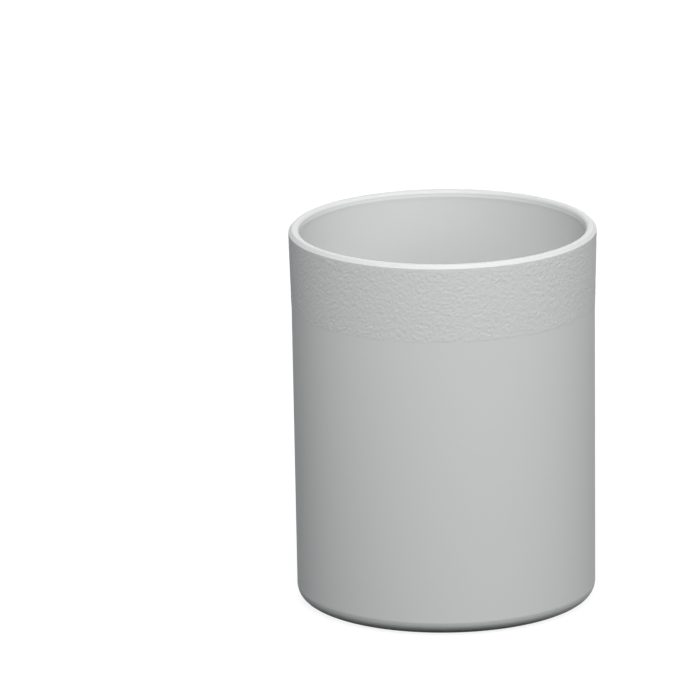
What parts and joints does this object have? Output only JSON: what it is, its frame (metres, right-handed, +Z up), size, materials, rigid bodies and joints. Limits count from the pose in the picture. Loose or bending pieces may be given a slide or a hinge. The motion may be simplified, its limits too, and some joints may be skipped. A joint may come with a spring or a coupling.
{
  "type": "pen cup",
  "caption": "Round pen cup for a desk: a moulded shell with a flared, grained band round its top, a bevelled rim, a rounded foot, and non-slip pads underneath.",
  "frame": {"origin": "on the desk, under the cup's axis", "axes": "+Z up along the cup's axis, and the first pad is halfway between +X and +Y"},
  "size_m": [0.08, 0.08, 0.0996],
  "materials": {
    "cup_plastic": "satin light grey moulding, with a fine grain in the band round the top",
    "pad_rubber": "matt dark grey"
  },
  "bodies": {
    "root": {"cup_body": "cup_plastic", "foot_pad_1": "pad_rubber", "foot_pad_2": "pad_rubber", "foot_pad_3": "pad_rubber", "foot_pad_4": "pad_rubber"}
  },
  "joints": []
}
